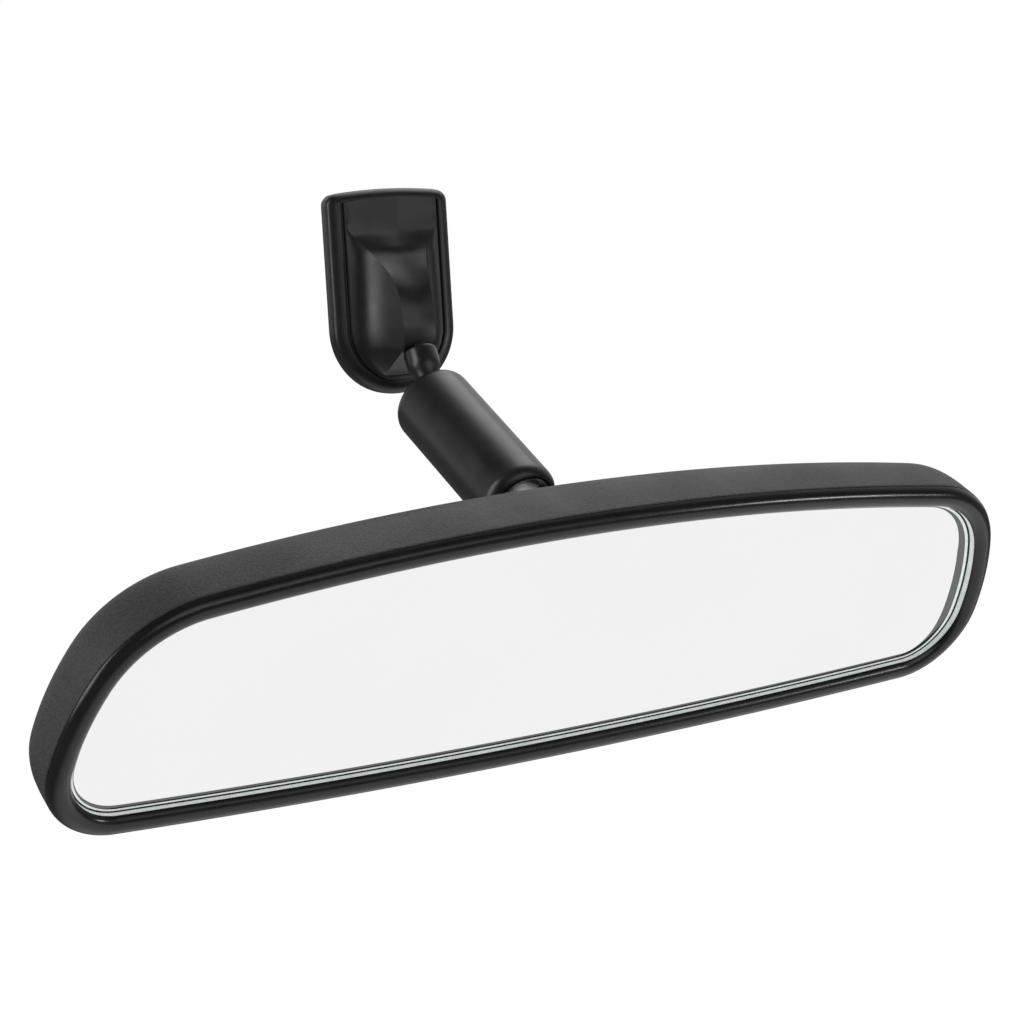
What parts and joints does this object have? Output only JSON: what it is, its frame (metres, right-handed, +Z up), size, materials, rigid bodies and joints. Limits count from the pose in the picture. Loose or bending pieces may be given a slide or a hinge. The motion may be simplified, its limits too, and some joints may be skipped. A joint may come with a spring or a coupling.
{
  "type": "rearview mirror",
  "caption": "Interior rear-view mirror: wide framed glass on a short tube arm with a ball joint at each end and a windshield mount.",
  "frame": {"origin": "centre of the windshield mount's flat back face", "axes": "+Y is the back face's outward normal (into the windshield); +Z up along the mount; +X to the right for someone facing the mirror"},
  "size_m": [0.2485, 0.1024, 0.1297],
  "materials": {
    "mount_black_cast": "satin black paint on zinc die casting",
    "neck_black": "satin black paint, ball polished steel",
    "clip_spring_steel": "bright spring steel",
    "rivet_steel_1": "plain",
    "rivet_steel_2": "plain",
    "upper_ball_seat_nylon": "natural nylon",
    "lower_ball_seat_nylon": "natural nylon",
    "ring_nylon_upper": "black nylon",
    "ring_nylon_lower": "black nylon",
    "arm_black_satin": "satin black paint on drawn steel",
    "upper_spring_washer_steel": "plain",
    "lower_spring_washer_steel": "plain",
    "spring_steel": "oiled spring wire",
    "stud_zinc": "bright zinc plate",
    "case_textured": "fine leather-like grain",
    "bezel_black": "smooth, semi-gloss",
    "mirror_glass": "silvered on the back, ground edge",
    "foam_pad_left_foam": "closed-cell foam",
    "foam_pad_right_foam": "closed-cell foam",
    "plate_zinc": "zinc plate",
    "washer_steel": "plain",
    "nut_steel": "plain",
    "screw_steel_1": "plain",
    "screw_steel_2": "plain",
    "screw_steel_3": "plain",
    "screw_steel_4": "plain"
  },
  "bodies": {
    "mount": {"mount_base": "mount_black_cast", "upper_ball_stud": "neck_black", "button_clip": "clip_spring_steel", "clip_rivet_1": "rivet_steel_1", "clip_rivet_2": "rivet_steel_2"},
    "upper_seat": {"upper_ball_seat": "upper_ball_seat_nylon"},
    "upper_ring": {"upper_wear_ring": "ring_nylon_upper"},
    "arm": {"arm_tube": "arm_black_satin", "upper_spring_washer": "upper_spring_washer_steel", "lower_spring_washer": "lower_spring_washer_steel", "arm_spring": "spring_steel"},
    "lower_seat": {"lower_ball_seat": "lower_ball_seat_nylon"},
    "lower_ring": {"lower_wear_ring": "ring_nylon_lower"},
    "head": {"lower_ball_stud": "stud_zinc", "rear_case": "case_textured", "front_bezel": "bezel_black", "mirror_glass": "mirror_glass", "foam_pad_left": "foam_pad_left_foam", "foam_pad_right": "foam_pad_right_foam", "ball_plate": "plate_zinc", "stud_washer": "washer_steel", "stud_nut": "nut_steel", "plate_screw_1": "screw_steel_1", "plate_screw_2": "screw_steel_2", "plate_screw_3": "screw_steel_3", "plate_screw_4": "screw_steel_4"}
  },
  "joints": [
    {"name": "arm_pitch", "type": "hinge", "parent": "mount", "child": "upper_seat", "pos_m": [0, -0.0232, -0.0274], "axis": [1, 0, 0], "range_deg": [-8, 66]},
    {"name": "arm_yaw", "type": "hinge", "parent": "upper_seat", "child": "upper_ring", "pos_m": [0, -0.0232, -0.0274], "axis": [0, -0.5162, 0.8565], "range_deg": [-19, 11]},
    {"name": "arm_twist", "type": "hinge", "parent": "upper_ring", "child": "arm", "pos_m": [0, -0.0232, -0.0274], "axis": [0.0658, -0.8546, -0.515], "continuous": true},
    {"name": "head_pitch", "type": "hinge", "parent": "arm", "child": "lower_seat", "pos_m": [0.00239, -0.05431, -0.04615], "axis": [0.9926, 0.1216, 0.0059], "range_deg": [-26, 24]},
    {"name": "head_yaw", "type": "hinge", "parent": "lower_seat", "child": "lower_ring", "pos_m": [0.00239, -0.05431, -0.04615], "axis": [0.0599, -0.5295, 0.8462], "range_deg": [-30, 25]},
    {"name": "head_roll", "type": "hinge", "parent": "lower_ring", "child": "head", "pos_m": [0.00239, -0.05431, -0.04615], "axis": [0.1061, -0.8395, -0.5329], "continuous": true}
  ]
}
